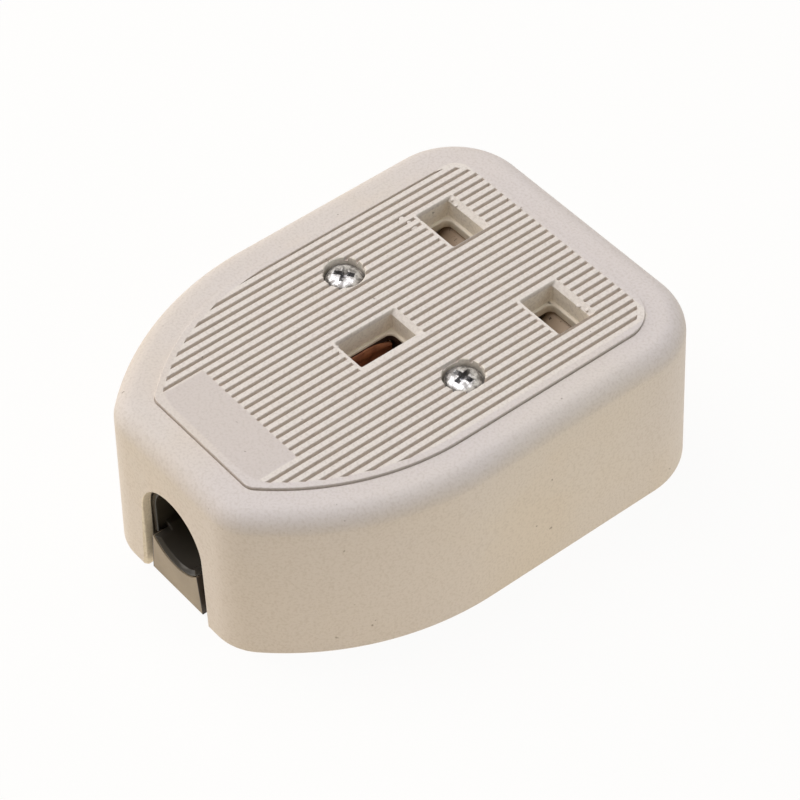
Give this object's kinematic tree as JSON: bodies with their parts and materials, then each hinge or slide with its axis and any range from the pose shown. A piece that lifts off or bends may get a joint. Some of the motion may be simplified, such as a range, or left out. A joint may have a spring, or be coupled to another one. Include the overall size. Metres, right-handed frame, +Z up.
{
  "type": "inline socket connector",
  "caption": "Soft-covered inline mains socket for a flat three-pin plug, with a ribbed face, screwed base, cord clamp and a sprung safety shutter.",
  "frame": {"origin": "under the middle of the cover's rim, on the surface that the socket lies on", "axes": "+Z up through the ribbed face, +Y from the cable entry to the far end, +X to the neutral side"},
  "size_m": [0.0556, 0.0742, 0.0262],
  "materials": {
    "cover_rubber": "matt moulded rubber",
    "base_plastic": "moulded, matt",
    "insert_plastic": "moulded, satin",
    "shutter_plastic": "moulded, satin",
    "grip_plastic": "glossy dark brown moulding",
    "contact_brass": "tarnished strip",
    "zinc_steel": "bright zinc plate",
    "spring_steel": "drawn wire"
  },
  "bodies": {
    "housing": {"rubber_cover": "cover_rubber", "base_plate": "base_plastic", "socket_insert": "insert_plastic", "shutter_spring": "spring_steel", "line_contact": "contact_brass", "neutral_contact": "contact_brass", "earth_contact": "contact_brass", "line_terminal": "contact_brass", "neutral_terminal": "contact_brass", "earth_terminal": "contact_brass", "terminal_screws": "zinc_steel", "case_screws": "zinc_steel", "case_nuts": "zinc_steel", "cord_grip": "grip_plastic", "cord_clamp": "grip_plastic", "cord_clamp_screws": "zinc_steel"},
    "shutter_slider": {"shutter": "shutter_plastic"}
  },
  "joints": [
    {"name": "shutter_slide", "type": "slide", "parent": "housing", "child": "shutter_slider", "axis": [0, 1, 0], "range_m": [0, 0.0048], "stiffness_N_per_m": 120, "springref_m": -0.002, "deforming": ["shutter_spring"]}
  ]
}
